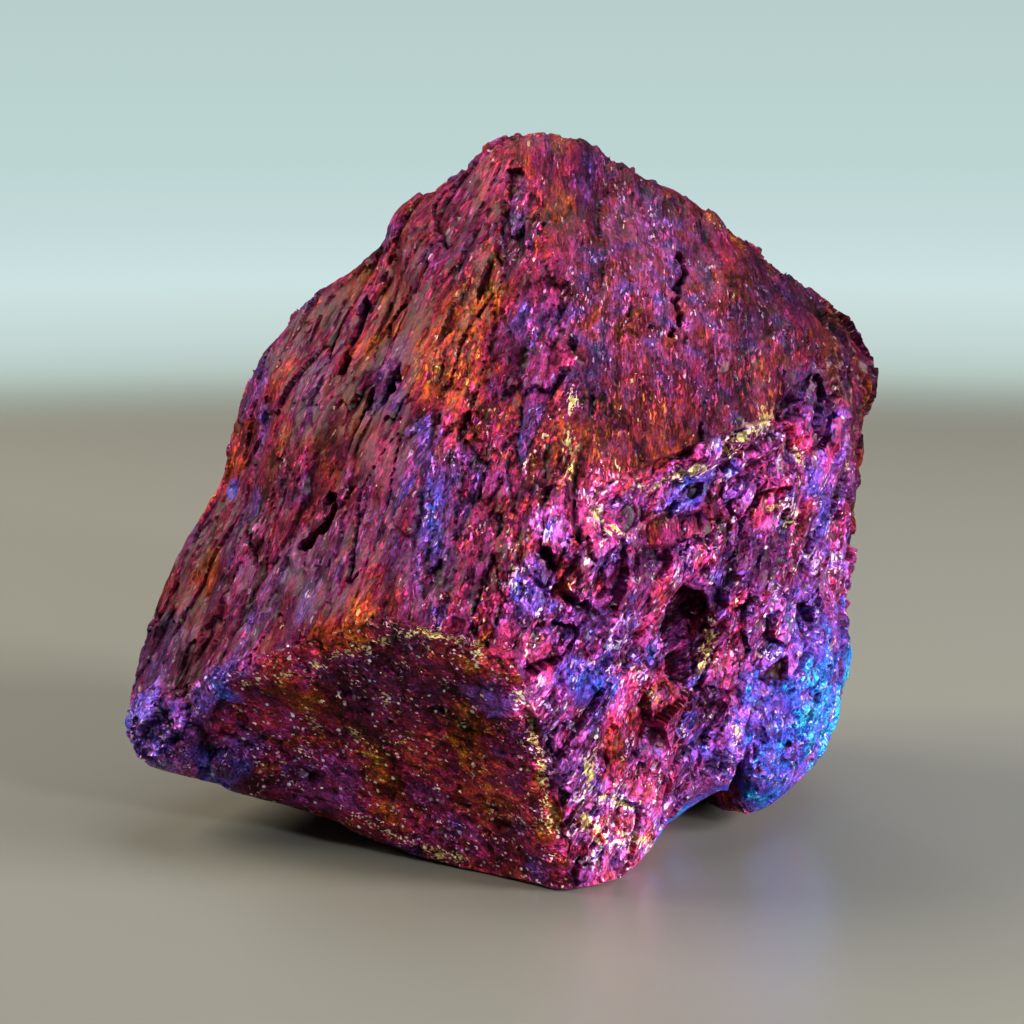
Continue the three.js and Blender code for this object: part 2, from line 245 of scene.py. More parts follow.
# Open cracks: corner points, width and depth.
CLEFTS = [
    ([(16.5, -1.3, 55.6), (17.3, -3.3, 53.6), (15.9, -6.5, 51.4), (16.5, -7.9, 49.9),
      (15.5, -9.5, 48.6)], 0.4, 1.1),
    ([(-15.5, -12, 33.8), (-15.6, -13, 32), (-18, -12.5, 29.5)], 0.6, 1.6),
    ([(-13, 0, 50.5), (-15, -4.2, 44.6)], 0.6, 1.0),
    ([(-9.5, -9, 46), (-10.8, -9.6, 42.5)], 0.7, 1.1),
    ([(4.8, -24.3, 28.6), (7.7, -23.4, 26)], 0.6, 1.3),
    ([(4, -24, 31.5), (4.6, -24, 30.2)], 0.7, 1.2),
]

# Deep hollows with a crisp rim: middle, reach along x, y and z, and depth.
PITS = [
    ((16.3, -15.8, 22.2), (3.3, 3.4, 6.0), 1.7),
    ((26.5, -7.5, 41.5), (2.2, 4.0, 1.6), 1.0),
]


# ---- chance and noise, the same each run -------------------------------------------------
HASH_PRIMES = (0x9E3779B97F4A7C15, 0xC2B2AE3D27D4EB4F, 0x165667B19E3779F9)
HASH_MIX = 0xBF58476D1CE4E5B9
SIXTEEN_BITS = 0xFFFF
SEED_STEP, SEED_START = 7919, 17


def lottery(cubes, seed):
    """Four even chances, 0 to 1, for each whole-number cube of space."""
    bits = np.full(len(cubes), seed * SEED_STEP + SEED_START, np.uint64)
    for axis, prime in enumerate(HASH_PRIMES):
        bits ^= cubes[:, axis].astype(np.int64).view(np.uint64) * np.uint64(prime)
        bits ^= bits >> np.uint64(29)
        bits *= np.uint64(HASH_MIX)
        bits ^= bits >> np.uint64(32)
    shifts = np.array([0, 16, 32, 48], np.uint64)
    return ((bits[:, None] >> shifts) & np.uint64(SIXTEEN_BITS)) / SIXTEEN_BITS


def swirl(points, seed):
    """Smooth noise, about -1 to 1, whose swells are about 1 apart."""
    base = np.floor(points)
    inside = points - base
    ease = inside ** 3 * (inside * (inside * 6 - 15) + 10)
    total = np.zeros(len(points))
    for corner in itertools.product((0, 1), repeat=3):
        slope = lottery(base + corner, seed)[:, :3] * 2 - 1
        share = np.prod(np.where(corner, ease, 1 - ease), axis=1)
        total += share * np.sum(slope * (inside - corner), axis=1)
    return total * 1.5


def shards(points, seed):
    """Each point's broken cell: its four chances, the way from its middle, the gap to the next."""
    base = np.floor(points)
    nearest = np.full(len(points), np.inf)
    second = np.full(len(points), np.inf)
    offset = np.zeros_like(points)
    home = np.zeros_like(points)
    for step in itertools.product((-1, 0, 1), repeat=3):
        cube = base + step
        away = points - cube - lottery(cube, seed)[:, :3]
        distance = np.linalg.norm(away, axis=1)
        closer = distance < nearest
        second = np.where(closer, nearest, np.minimum(second, distance))
        nearest = np.where(closer, distance, nearest)
        offset[closer] = away[closer]
        home[closer] = cube[closer]
    return lottery(home, seed + 1), offset, second - nearest


def smoothstep(low, high, value):
    share = np.clip((value - low) / (high - low), 0, 1)
    return share * share * (3 - 2 * share)


# ---- the stone's mesh ---------------------------------------------------------------
VOXEL = 0.27  # edge of the fine mesh, mm
MOST_TRIANGLES = 194000  # about how many triangles the finished piece is thinned to; what the finished piece may have
SHARP_EDGE = 24  # degrees between two faces that makes the edge between them sharp


def fine_copy(source, name):
    """A new object: the CAD solid, remeshed into small even faces."""
    piece = bpy.data.objects.new(name, source.data.copy())
    bpy.context.scene.collection.objects.link(piece)
    remesh = piece.modifiers.new("even_faces", "REMESH")
    remesh.mode = "VOXEL"
    remesh.voxel_size = VOXEL * MM
    bake_modifiers(piece)
    return piece


def bake_modifiers(piece):
    graph = bpy.context.evaluated_depsgraph_get()
    mesh = bpy.data.meshes.new_from_object(piece.evaluated_get(graph))
    piece.modifiers.clear()
    piece.data = mesh


def points_of(mesh):
    flat = np.empty(len(mesh.vertices) * 3, np.float32)
    mesh.vertices.foreach_get("co", flat)
    return flat.reshape(-1, 3).astype(float) / MM


def put_points(mesh, points):
    mesh.vertices.foreach_set("co", (points * MM).astype(np.float32).ravel())
    mesh.update()


def normals_of(mesh):
    flat = np.empty(len(mesh.vertices) * 3, np.float32)
    mesh.vertex_normals.foreach_get("vector", flat)
    return flat.reshape(-1, 3).astype(float)


def edges_of(mesh):
    flat = np.empty(len(mesh.edges) * 2, np.int32)
    mesh.edges.foreach_get("vertices", flat)
    return flat.reshape(-1, 2)


def evened(values, edges, rounds):
    """Each point's value, or row of values, becomes its neighbours' mean, rounds times over."""
    count = len(values)
    ends = np.concatenate([edges, edges[:, ::-1]])
    neighbours = np.bincount(ends[:, 0], minlength=count)
    columns = values.reshape(count, -1).T
    for _ in range(rounds):
        columns = [np.bincount(ends[:, 0], column[ends[:, 1]], count) / neighbours
                   for column in columns]
    return np.stack(columns, axis=1).reshape(values.shape)


def direction(rows):
    return rows / np.linalg.norm(rows, axis=-1, keepdims=True)


FACING_WEIGHT = 22.0  # mm of distance that one unit between two directions counts for
BORDER_SOFTNESS = 1.6  # mm over which one side fades into the next
BORDER_WANDER = 2.0  # mm that the borders between sides wander off their way


def side_shares(points, normals):
    """How much each point belongs to each side; each row adds up to 1."""
    distances = []
    for side in SIDES.values():
        gaps = [np.sum((points - spot) ** 2, axis=1) for spot in side.spots]
        turn = np.sum((normals - direction(np.array(side.faces))) ** 2, axis=1)
        distances.append(np.sqrt(np.min(gaps, axis=0) + FACING_WEIGHT ** 2 * turn))
    distances = np.stack(distances, axis=1)
    shares = np.exp((distances.min(axis=1, keepdims=True) - distances) / BORDER_SOFTNESS * 2)
    return shares / shares.sum(axis=1, keepdims=True)


def along_grain(points, owner):
    """Places squeezed along each side's fibres, so that noise read there comes out as long fibres."""
    placed = points.copy()
    for number, side in enumerate(SIDES.values()):
        mine = owner == number
        fibre = direction(np.array(side.fibre))
        along = points[mine] @ fibre
        placed[mine] -= (1 - 1 / side.stretch) * along[:, None] * fibre
    return placed


stone = fine_copy(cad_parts["peacock_ore"], "peacock_ore_chunk")
mesh = stone.data
edges = edges_of(mesh)
rough_points = points_of(mesh)

# The fine mesh loses the flat facets of the solid. Its ridges, which evening moves a lot, stay.
SOFT_ROUNDS, CRISP_ROUNDS = 26, 3  # rounds of evening off the ridges, and on them
RIDGE_MOVE = (0.18, 0.5)  # mm that evening moves a point where a ridge starts, and on its crest
RIDGE_ROUNDS = 4  # rounds that fade the ridges into the rest
BROAD_ROUNDS, PUSH_ROUNDS = 140, 8  # rounds on the normals, for each side's way and each step's
soft_points = evened(rough_points, edges, SOFT_ROUNDS)
moved = np.linalg.norm(soft_points - rough_points, axis=1)
crisp = evened(smoothstep(*RIDGE_MOVE, moved), edges, RIDGE_ROUNDS)[:, None]
even_points = evened(rough_points, edges, CRISP_ROUNDS) * crisp + soft_points * (1 - crisp)
put_points(mesh, even_points)
broad_normals = direction(evened(normals_of(mesh), edges, BROAD_ROUNDS))
push_ways = direction(evened(normals_of(mesh), edges, PUSH_ROUNDS))

# Each pattern of noise has a seed of its own. These three move places about, from far to near.
WARP_SIZE, WOBBLE_SIZE, TREMBLE_SIZE = 5.0, 1.6, 0.9  # mm
warp = np.stack([swirl(even_points / WARP_SIZE, seed) for seed in (3, 4, 5)], axis=1)
shares = side_shares(even_points + warp * BORDER_WANDER, broad_normals)
owner = shares.argmax(axis=1)
grain = along_grain(even_points, owner)
wobble = np.stack([swirl(grain / WOBBLE_SIZE, seed) for seed in (13, 14, 15)], axis=1)
tremble = np.stack([swirl(even_points / TREMBLE_SIZE, seed) for seed in (16, 17, 18)], axis=1)


def trait(name):
    """A number of the sides, spread over the stone."""
    return shares @ np.array([getattr(side, name) for side in SIDES.values()])


def mixed(one, other, share):
    return one * (1 - share) + other * share


def stepped(luck, way, lean):
    """Height of broken cells: each stands at its own level and leans its own way."""
    return (luck[:, 3] - 0.5) + lean * np.sum((luck[:, :3] - 0.5) * 2 * way, axis=1)


RISER_SHARE = 0.22  # how much of a terrace its riser takes up


def terraces(values):
    """Flat treads with short steep risers between them."""
    whole = np.floor(values)
    return whole + smoothstep(0.0, RISER_SHARE, values - whole)


def from_line(points, corners):
    """How far each point is from a bent line, in mm."""
    nearest = np.full(len(points), np.inf)
    for start, end in zip(np.array(corners[:-1], float), np.array(corners[1:], float)):
        step = end - start
        share = np.clip((points - start) @ step / (step @ step), 0, 1)
        nearest = np.minimum(nearest, np.linalg.norm(points - start - share[:, None] * step, axis=1))
    return nearest


# Sizes of what stands out from the surface, mm.
SLAB_SIZE = 2.9
TERRACE_SIZE = 2.4
FLAKE_SIZE = 1.4
CRUMB_SIZE = 0.75
NODULE_SIZE = 2.2
THREAD_WIDTH = 0.8
FINE_THREAD_WIDTH = 0.45
LIVELY_SIZE = 4.5  # of the areas that are calm or rough by turns
SWELL_SIZE = 6.0
SWELL_HEIGHT = 0.35
MOST_RISE = 0.9  # the most that anything stands out
SEAM_WIDTH, SEAM_DEPTH = 0.08, 0.9  # shares of a slab's size and of its height
TERRACE_HEIGHT, TERRACE_COUNT = 0.32, 2.6  # share of a slab's height, and terraces in a swell
CRUMB_HEIGHT = 0.4  # share of a flake's height
CLEFT_WALL = (0.3, 1.0)  # shares of a crack's width where its wall has its foot and its top
PIT_WALL = (0.62, 1.0)  # the same as shares of a pit's reach

half_grain = mixed(grain, even_points, 0.08)
slab_luck, slab_way, slab_gap = shards(grain / SLAB_SIZE + wobble * 0.12, 21)
flake_luck, flake_way, _ = shards(half_grain / FLAKE_SIZE + wobble * 0.2, 23)
crumb_luck, crumb_way, _ = shards(half_grain / CRUMB_SIZE + tremble * 0.15, 25)
_, nodule_way, _ = shards(even_points / NODULE_SIZE + wobble * 0.15, 27)

height = trait("slab") * stepped(slab_luck, slab_way, 1.0)
swells = swirl(grain / TERRACE_SIZE + tremble * 0.06, 35)
height += trait("slab") * TERRACE_HEIGHT * terraces(swells * TERRACE_COUNT)
liveliness = np.clip(0.8 + 1.2 * swirl(even_points / LIVELY_SIZE, 37), 0.15, 1.5)
height += trait("flake") * liveliness * stepped(flake_luck, flake_way, 1.2)
height += trait("flake") * liveliness * CRUMB_HEIGHT * stepped(crumb_luck, crumb_way, 1.2)
height += trait("nodule") * (0.7 - np.sum(nodule_way ** 2, axis=1))
height += trait("thread") * (
    swirl(grain / THREAD_WIDTH, 31) + 0.7 * swirl(grain / FINE_THREAD_WIDTH, 32))
height += SWELL_HEIGHT * swirl(even_points / SWELL_SIZE, 33)
seams = (1 - smoothstep(0.0, SEAM_WIDTH, slab_gap)) * smoothstep(0.7, 0.95, slab_luck[:, 0])
height -= seams * SEAM_DEPTH * trait("slab")
shaken = even_points + tremble * 0.5 + wobble * 0.4
for corners, width, depth in CLEFTS:
    height -= depth * (1 - smoothstep(*CLEFT_WALL, from_line(shaken, corners) / width))

height = np.minimum(height, MOST_RISE)
for middle, reach, depth in PITS:
    inside = np.linalg.norm((even_points + tremble * 0.3 - middle) / reach, axis=1)
    height -= depth * (1 - smoothstep(*PIT_WALL, inside))

# nothing stands out below, so the stone still rests on its flat underside
RESTING_RIM = 0.35  # mm above the table that count as resting on it
RESTING_DEPTH = 0.3  # share of the hollows' depth that is left there
under = smoothstep(-0.2, -0.75, broad_normals[:, 2])
height -= under * np.maximum(height, 0)
resting = even_points[:, 2] < RESTING_RIM
height = np.where(resting, np.minimum(height, 0.0) * RESTING_DEPTH, height)
stone_points = even_points + push_ways * height[:, None]
stone_points[:, 2] = np.maximum(stone_points[:, 2], 0.0)
put_points(mesh, stone_points)

# Hollows are darkened with painted shade. A point lies in one where its evened neighbourhood is above
# it.
SMALL_HOLLOW, BROAD_HOLLOW = 0.14, 0.5  # mm deep that count in full
SMALL_HOLLOW_ROUNDS, BROAD_HOLLOW_ROUNDS = 6, 40  # rounds of evening that show each kind
normals = direction(evened(normals_of(mesh), edges, 2))
near_rise, far_rise = (
    np.sum((evened(stone_points, edges, rounds) - stone_points) * normals, axis=1)
    for rounds in (SMALL_HOLLOW_ROUNDS, BROAD_HOLLOW_ROUNDS))
cavity = 0.6 * np.clip(near_rise / SMALL_HOLLOW, 0, 1) + 0.7 * np.clip(far_rise / BROAD_HOLLOW, 0, 1)

# Film, dust and shade change from slab to slab and with swells of several sizes. A place is divided
# by the size in mm that the swells there should have.
film = trait("film") + trait("vary") * (
    1.0 * swirl(even_points / 7.0, 41)
    + 0.8 * swirl(even_points / 3.2, 45)
    + 0.6 * swirl(grain / 2.2, 42)
    + 1.3 * (slab_luck[:, 1] - 0.5)
    + 0.6 * (flake_luck[:, 1] - 0.5)
)
dust = trait("dust") * (1 + 0.8 * swirl(grain / 2.6, 43) + 1.2 * (slab_luck[:, 2] - 0.5))
shade = trait("shade") * (
    1 + 0.9 * (slab_luck[:, 0] - 0.5) + 0.5 * (flake_luck[:, 0] - 0.5)
    + 2.4 * trait("vary") * swirl(even_points / 4.0, 44)
)

PATCH_EDGE = (0.55, 1.15)  # shares of a spot's radius between which it fades out
VEIN_EDGE = (0.2, 1.2)  # shares of a vein's width between which it fades out
for middle, radius, level, strength, dull, bright in PATCHES:
    ragged = np.linalg.norm(even_points + warp * 1.2 + wobble * 0.9 - middle, axis=1) / radius
    cover = strength * (1 - smoothstep(*PATCH_EDGE, ragged))
    film += (level - film) * cover
    dust += (dull - dust) * cover
    shade += (bright - shade) * cover

# the veins come and go along their length
fineness = np.array([side.fine for side in SIDES.values()])
pale = np.zeros(len(film))
gaps = 0.5 + 0.9 * swirl(even_points / 1.8, 51)
strayed = even_points + tremble * 0.6 + wobble * 0.4
for corners, width in VEINS:
    near = 1 - smoothstep(*VEIN_EDGE, from_line(strayed, corners) / width)
    pale = np.maximum(pale, near * np.clip(gaps, 0, 0.7))


def store(mesh, name, values, kind="FLOAT"):
    slot = mesh.attributes.new(name, kind, "POINT")
    field = "vector" if kind == "FLOAT_VECTOR" else "value"
    slot.data.foreach_set(field, values.astype(np.float32).ravel())


store(mesh, "film", film)
store(mesh, "dust", np.clip(dust, 0, 1))
store(mesh, "shade", np.clip(shade, 0.1, 3.2))
store(mesh, "cavity", np.clip(cavity, 0, 1))
store(mesh, "pale", pale)
store(mesh, "glitter", np.clip(trait("glitter") * (0.55 + 0.9 * slab_luck[:, 2]), 0, 1))
store(mesh, "vary", trait("vary"))
store(mesh, "bead_glints", trait("bead_glints"))
store(mesh, "grain_at", grain * fineness[owner][:, None], "FLOAT_VECTOR")

# every face of the even mesh has four sides, which makes two triangles
thin = stone.modifiers.new("fewer_faces", "DECIMATE")
thin.ratio = MOST_TRIANGLES / (2 * len(mesh.polygons))
thin.use_collapse_triangulate = True
bake_modifiers(stone)
mesh = stone.data
mesh.polygons.foreach_set("use_smooth", np.ones(len(mesh.polygons), bool))
mesh.set_sharp_from_angle(angle=math.radians(SHARP_EDGE))


# ---- the tarnished metal -------------------------------------------------------------
def linear(hex_colour):
    """Red, green, blue and full cover, linear, from an sRGB colour such as '#7f3fbf'."""
    shares = [int(hex_colour[start:start + 2], 16) / 255 for start in (1, 3, 5)]
    return [s / 12.92 if s <= 0.04045 else ((s + 0.055) / 1.055) ** 2.4 for s in shares] + [1.0]


def add(tree, kind, inputs=None, stops=None, **settings):
    """A node with its settings; inputs maps a socket's name or number to a value or a node."""
    node = tree.nodes.new("ShaderNode" + kind)
    for name, value in settings.items():
        setattr(node, name, value)
    for name, value in (inputs or {}).items():
        if isinstance(name, int):
            socket = node.inputs[name]
        else:
            socket = next(s for s in node.inputs if s.enabled and name in (s.name, s.identifier))
        if isinstance(value, bpy.types.Node):
            value = value.outputs[0]
        if isinstance(value, bpy.types.NodeSocket):
            tree.links.new(value, socket)
        else:
            socket.default_value = value
    if stops:
        ramp = node.color_ramp.elements
        while len(ramp) < len(stops):
            ramp.new(1.0)
        for element, (position, colour) in zip(ramp, stops):
            element.position = position
            element.color = linear(colour)
    return node


# The colour of the film by its thickness, thin to thick.
FILM_COLOURS = [
    (0.00, "#d8b060"),
    (0.10, "#de8c30"),
    (0.20, "#c44e2a"),
    (0.32, "#a82c4a"),
    (0.44, "#982b66"),
    (0.56, "#8e4292"),
    (0.68, "#6e4ab8"),
    (0.80, "#4450d0"),
    (0.92, "#2c80e4"),
    (1.00, "#2cb0f4"),
]

# How wide each pattern's marks are, mm, mostly as one over how many of them fit in a millimetre.
# Real fibres, facets and grains go down to 0.05 mm, which is too fine to show when the whole stone
# is in view, so they are drawn as coarse as they need to show.
SHAKE_WIDTH = 1 / 1.6  # wavering that bends all the rest
STREAK_WIDTH = 1 / 1.6  # bands of one tint along the grain
FIBRE_WIDTH = 1 / 3.8  # threads along the grain, painted bright on their ridges and dark with shade between
FACET_WIDTH = 1 / 3.9  # crystal faces that each tilt their own way, painted bright and dark as glints
GRAIN_WIDTH = 1 / 4.4  # bare pale grains, and painted glints like them
CRYSTAL_WIDTH = 1 / 1.2  # crystals of one tint, each painted its own brightness as if it caught more light or less
BEAD_GAP = 1 / 1.2  # from one round bead, a painted highlight, to the next
CREASE_GAP = 1 / 1.3  # from one dark crease along the grain to the next; the dark is painted shade
CRINKLE_GAP = 1 / 1.2  # from one crossing crease to the next, painted dark with shade and light between
CLUSTER_WIDTH = 1 / 0.55  # clusters of bare grains and painted glints
DULL_WIDTH = 1 / 0.45  # patches of one dull colour
CALM_WIDTH = 1 / 0.22  # areas that are calm or sparkle by turns
RELIEF = 0.4  # depth of the finest relief, drawn deeper than it is for the same reason

LEAST_ROUGHNESS = 0.29
MOST_BRIGHT = 0.95  # what a metal's colour may reach
GREY = "#acacac"


# Chalcopyrite is a brass-yellow metal sulphide. In air its skin tarnishes to an oxide film so thin
# that light is coloured by it, so to the eye it is a metal with a strong sheen of red, magenta,
# violet or blue, broken by bright facets, by a matt rust or mauve skin where the film is thick and
# dirty, and by pale gold grains where it has worn off.
# In the colour below, the bright and dark facets and crystals, the pink and white glints and the round
# bead highlights are painted light, and the dark hollows, creases and gaps between fibres are painted
# shade.
def tarnished_chalcopyrite():
    material = bpy.data.materials.new("tarnished_chalcopyrite")
    material.use_nodes = True
    tree = material.node_tree
    tree.nodes.clear()
    stored = {name: add(tree, "Attribute", attribute_name=name).outputs["Fac"] for name in (
        "film", "dust", "shade", "cavity", "pale", "glitter", "vary", "bead_glints")}
    dust, glitter, pale = stored["dust"], stored["glitter"], stored["pale"]
    grain = add(tree, "Attribute", attribute_name="grain_at").outputs["Vector"]
    place = add(tree, "TexCoord").outputs["Object"]
    in_mm = add(tree, "VectorMath", {0: place, "Scale": 1 / MM}, operation="SCALE")

    shake = add(tree, "TexNoise", {"Vector": in_mm, "Scale": 1 / SHAKE_WIDTH, "Detail": 2.0})
    shake = add(tree, "VectorMath", {
        0: shake.outputs["Color"], 1: (0.4, 0.4, 0.4), 2: grain}, operation="MULTIPLY_ADD")
    bent = add(tree, "VectorMath", {
        0: in_mm, 1: (0.14, 0.14, 0.14), 2: shake}, operation="MULTIPLY_ADD")
    halfway = add(tree, "VectorMath", {0: grain, 1: in_mm}, operation="ADD")

    streaks = add(tree, "TexNoise", {
        "Vector": grain, "Scale": 1 / STREAK_WIDTH, "Detail": 6.0, "Roughness": 0.65})
    fibres = add(tree, "TexNoise", {
        "Vector": bent, "Scale": 1 / FIBRE_WIDTH, "Detail": 4.0, "Roughness": 0.75})
    patches = add(tree, "TexNoise", {
        "Vector": in_mm, "Scale": 1 / DULL_WIDTH, "Detail": 4.0, "Roughness": 0.6})
    clusters = add(tree, "TexNoise", {
        "Vector": in_mm, "Scale": 1 / CLUSTER_WIDTH, "Detail": 4.0, "Roughness": 0.6})
    creases = add(tree, "TexNoise", {
        "Vector": bent, "Scale": 1 / CREASE_GAP, "Detail": 5.0, "Roughness": 0.6,
    }, noise_type="RIDGED_MULTIFRACTAL")
    crinkles = add(tree, "TexNoise", {
        "Vector": halfway, "Scale": 1 / CRINKLE_GAP, "Detail": 5.0, "Roughness": 0.65,
    }, noise_type="RIDGED_MULTIFRACTAL")
    facets = add(tree, "TexVoronoi", {"Vector": bent, "Scale": 1 / FACET_WIDTH})
    crystals = add(tree, "TexVoronoi", {"Vector": bent, "Scale": 1 / CRYSTAL_WIDTH})
    grains = add(tree, "TexVoronoi", {"Vector": bent, "Scale": 1 / GRAIN_WIDTH})
    bead_glints = add(tree, "TexVoronoi", {"Vector": in_mm, "Scale": 1 / BEAD_GAP})
    facet_luck, crystal_luck, grain_luck, bead_luck = (
        add(tree, "SeparateColor", {0: cells.outputs["Color"]}).outputs
        for cells in (facets, crystals, grains, bead_glints))
    calm = add(tree, "TexNoise", {
        "Vector": halfway, "Scale": 1 / CALM_WIDTH, "Detail": 3.0, "Roughness": 0.5})
    lively = add(tree, "MapRange", {
        "Value": calm, "From Min": 0.4, "From Max": 0.6, "To Min": 0.25, "To Max": 1.5})
    cellular = add(tree, "MapRange", {"Value": glitter, "To Min": 0.3, "To Max": 1.0})
    cellular = add(tree, "Math", {0: cellular, 1: lively}, operation="MULTIPLY", use_clamp=True)

    # the film's thickness changes from streak to streak and crystal to crystal, with odd flecks
    flecks = add(tree, "ValToRGB", {"Fac": facet_luck[0]}, stops=[
        (0.0, "#000000"), (0.12, "#bcbcbc"), (0.86, "#ffffff")])
    flecks.color_ramp.interpolation = "CONSTANT"
    change = add(tree, "Math", {0: crystal_luck[0], 1: 1.0, 2: -1.1}, operation="MULTIPLY_ADD")
    change = add(tree, "Math", {0: flecks, 1: 1.2, 2: change}, operation="MULTIPLY_ADD")
    change = add(tree, "Math", {0: change, 1: cellular}, operation="MULTIPLY")
    change = add(tree, "Math", {0: streaks, 1: 3.0, 2: change}, operation="MULTIPLY_ADD")
    change = add(tree, "Math", {0: change, 1: 1.5}, operation="SUBTRACT")
    level = add(tree, "Math", {
        0: change, 1: stored["vary"], 2: stored["film"]}, operation="MULTIPLY_ADD")
    tarnish = add(tree, "ValToRGB", {"Fac": level}, stops=FILM_COLOURS)

    # duller skin over the film: rust, mauve or grey from place to place
    dull_colour = add(tree, "ValToRGB", {"Fac": patches}, stops=[
        (0.34, "#7c3a20"), (0.44, "#882c42"), (0.53, "#883e70"), (0.61, "#60367c"),
        (0.7, "#645890")])
    dull_part = add(tree, "Math", {0: streaks, 1: 3.0, 2: -2.1}, operation="MULTIPLY_ADD")
    dull_part = add(tree, "Math", {
        0: dust, 1: 2.0, 2: dull_part}, operation="MULTIPLY_ADD", use_clamp=True)
    skin = add(tree, "MixRGB", {"Fac": dull_part, "Color1": tarnish, "Color2": dull_colour})

    # painted shade darkens hollows and creases, painted light and shade follow the fibres, and each
    # facet and crystal is painted brighter or darker as a glint
    facet_glint = add(tree, "ValToRGB", {"Fac": facet_luck[1]}, stops=[
        (0.0, "#585858"), (0.5, "#808080"), (0.8, GREY), (0.93, "#ffffff")])
    facet_glint = add(tree, "MixRGB", {"Fac": cellular, "Color1": linear(GREY), "Color2": facet_glint})
    crystal_glint = add(tree, "Math", {0: crystal_luck[2], 1: 1.1, 2: 0.55}, operation="MULTIPLY_ADD")
    crease = add(tree, "MapRange", {
        "Value": creases, "From Min": 0.9, "From Max": 1.4, "To Min": 1.08, "To Max": 0.6})
    crinkle = add(tree, "MapRange", {
        "Value": crinkles, "From Min": 0.8, "From Max": 1.5, "To Min": 1.25, "To Max": 0.5})
    thread = add(tree, "MapRange", {
        "Value": fibres, "From Min": 0.38, "From Max": 0.6, "To Min": 0.3, "To Max": 1.75})
    # painted shade: hollows darker, open ground brighter
    hollow_shade = add(tree, "Math", {0: stored["cavity"], 1: -1.7, 2: 2.0}, operation="MULTIPLY_ADD")
    light = hollow_shade
    for part in (stored["shade"], crystal_glint, crease, crinkle, thread):
        light = add(tree, "Math", {0: light, 1: part}, operation="MULTIPLY")
    lit = add(tree, "VectorMath", {0: skin, 1: facet_glint}, operation="MULTIPLY")
    lit = add(tree, "VectorMath", {0: lit, "Scale": light}, operation="SCALE")

    # bare pale grains lie in clusters and along the veins: worn gold on the veins, and elsewhere
    # also pink, lilac and white ones, which are painted glints, more of them where the shade is higher
    crowd = add(tree, "MapRange", {
        "Value": clusters, "From Min": 0.52, "From Max": 0.68, "To Min": 0.01, "To Max": 0.28})
    shining = add(tree, "Math", {0: stored["shade"], 1: 0.5}, operation="ADD")
    crowd = add(tree, "Math", {0: crowd, 1: shining}, operation="MULTIPLY")
    crowd = add(tree, "Math", {0: crowd, 1: lively}, operation="MULTIPLY")
    crowd = add(tree, "Math", {0: stored["bead_glints"], 1: 0.03, 2: crowd}, operation="MULTIPLY_ADD")
    odds = add(tree, "Math", {0: glitter, 1: crowd, 2: pale}, operation="MULTIPLY_ADD")
    bare = add(tree, "Math", {0: odds, 1: grain_luck[2]}, operation="GREATER_THAN")
    tinted = add(tree, "Math", {0: pale, 1: -1.8, 2: 1.0}, operation="MULTIPLY_ADD", use_clamp=True)
    chance = add(tree, "MapRange", {"Value": grain_luck[1], "To Min": 0.3, "To Max": 1.0})
    tinted = add(tree, "Math", {0: tinted, 1: chance}, operation="MULTIPLY")
    tinted = add(tree, "Math", {0: tinted, 1: stored["film"]}, operation="MULTIPLY")
    tinted = add(tree, "Math", {0: tinted, 1: 2.0}, operation="MULTIPLY", use_clamp=True)
    bare_and_glint_colour = add(tree, "ValToRGB", {"Fac": tinted}, stops=[
        (0.0, "#c8b070"), (0.3, "#ecd8a8"), (0.5, "#f8c0d8"), (0.75, "#e4b4f4"),
        (1.0, "#b4b0f8")])
    bare_and_glint_light = add(tree, "Math", {0: stored["shade"], 1: 0.32, 2: 0.1}, operation="MULTIPLY_ADD")
    for part in (pale, stored["bead_glints"]):
        bare_and_glint_light = add(tree, "Math", {0: part, 1: 0.2, 2: bare_and_glint_light}, operation="MULTIPLY_ADD")
    for part in (hollow_shade, thread):
        bare_and_glint_light = add(tree, "Math", {0: bare_and_glint_light, 1: part}, operation="MULTIPLY")
    bare_and_glint_lit = add(tree, "VectorMath", {0: bare_and_glint_colour, "Scale": bare_and_glint_light}, operation="SCALE")
    lit = add(tree, "MixRGB", {"Fac": bare, "Color1": lit, "Color2": bare_and_glint_lit})

    # round pale bead highlights, painted on small bumps, sit in some of the cells of their pattern
    beaded = add(tree, "Math", {0: stored["bead_glints"], 1: 0.2}, operation="MULTIPLY")
    beaded = add(tree, "Math", {0: beaded, 1: bead_luck[0]}, operation="GREATER_THAN")
    bead_size = add(tree, "Math", {0: bead_luck[1], 1: 0.16, 2: 0.12}, operation="MULTIPLY_ADD")
    on_bead = add(tree, "Math", {0: bead_glints.outputs["Distance"], 1: bead_size}, operation="LESS_THAN")
    beaded = add(tree, "Math", {0: beaded, 1: on_bead}, operation="MULTIPLY")
    lit = add(tree, "MixRGB", {"Fac": beaded, "Color1": lit, "Color2": linear("#e8e0e4")})
    lit = add(tree, "VectorMath", {0: lit, 1: [MOST_BRIGHT] * 3}, operation="MINIMUM")

    # crystal faces are smoother, and the dull skin is rougher
    rough = add(tree, "Math", {0: glitter, 1: -0.3, 2: 0.6}, operation="MULTIPLY_ADD")
    rough = add(tree, "Math", {0: dust, 1: 0.1, 2: rough}, operation="MULTIPLY_ADD")
    rough = add(tree, "Math", {0: rough, 1: LEAST_ROUGHNESS}, operation="MAXIMUM")

